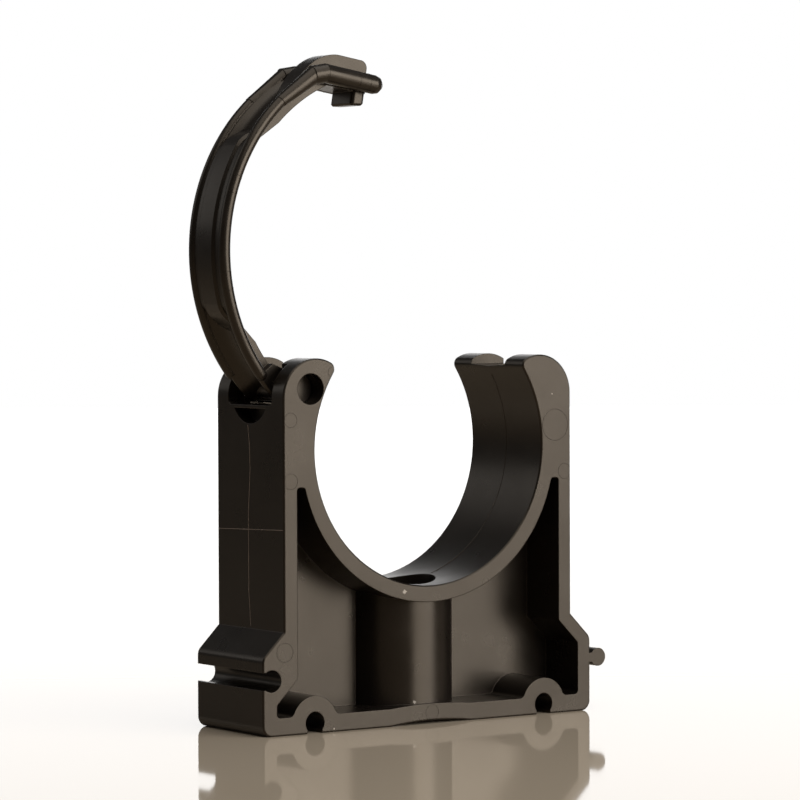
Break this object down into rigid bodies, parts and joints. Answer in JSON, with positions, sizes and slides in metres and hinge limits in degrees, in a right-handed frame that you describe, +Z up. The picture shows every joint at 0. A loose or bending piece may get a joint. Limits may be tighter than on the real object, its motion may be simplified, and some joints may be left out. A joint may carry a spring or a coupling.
{
  "type": "pipe clip",
  "caption": "Plastic pipe clip: a screw-down base with a round saddle for the pipe, and a hinged retaining bow that latches over it.",
  "frame": {"origin": "underside of the base, midway between the outer faces of its two feet and at the middle of its width along the pipe", "axes": "+X from the hinge tower to the latch tower, +Y along the pipe, +Z up from the mounting surface"},
  "size_m": [0.0807, 0.0218, 0.1205],
  "materials": {
    "base_plastic": "satin moulded",
    "bow_plastic": "satin moulded"
  },
  "bodies": {
    "base": {"clip_base": "base_plastic"},
    "strap": {"retaining_strap": "bow_plastic"}
  },
  "joints": [
    {"name": "strap_pivot", "type": "hinge", "parent": "base", "child": "strap", "pos_m": [-0.02595, 0, 0.0609], "axis": [0, 1, 0], "range_deg": [0, 72]}
  ]
}
